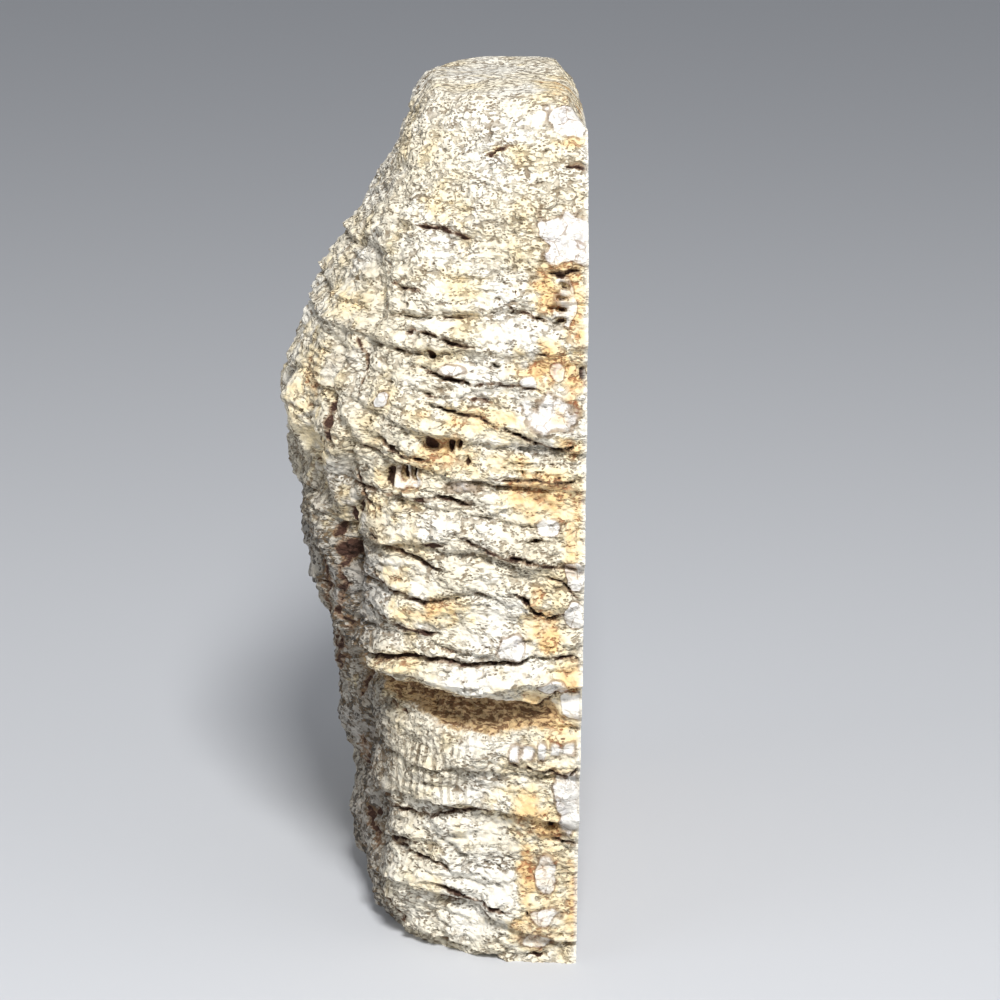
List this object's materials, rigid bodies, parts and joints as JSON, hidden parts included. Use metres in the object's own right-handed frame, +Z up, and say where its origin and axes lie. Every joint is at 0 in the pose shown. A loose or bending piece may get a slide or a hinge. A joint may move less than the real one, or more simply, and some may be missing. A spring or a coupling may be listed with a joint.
{
  "type": "fossil coral",
  "caption": "Half of a fossil coral head: rough ledged outside with cracks, pits and knobs, one upright sawn face, and a flat cut foot to stand on.",
  "frame": {"origin": "under the middle of the whole piece, on the surface it stands on", "axes": "+Z up the standing piece, +X out of the sawn face, +Y from the front edge of the sawn face to its back edge"},
  "size_m": [0.0454, 0.0948, 0.1273],
  "materials": {
    "weathered_coral_rock": "matt, granular cream and beige limestone with ochre stains; the sawn face is smooth"
  },
  "bodies": {
    "root": {"coral_head": "weathered_coral_rock"}
  },
  "joints": []
}
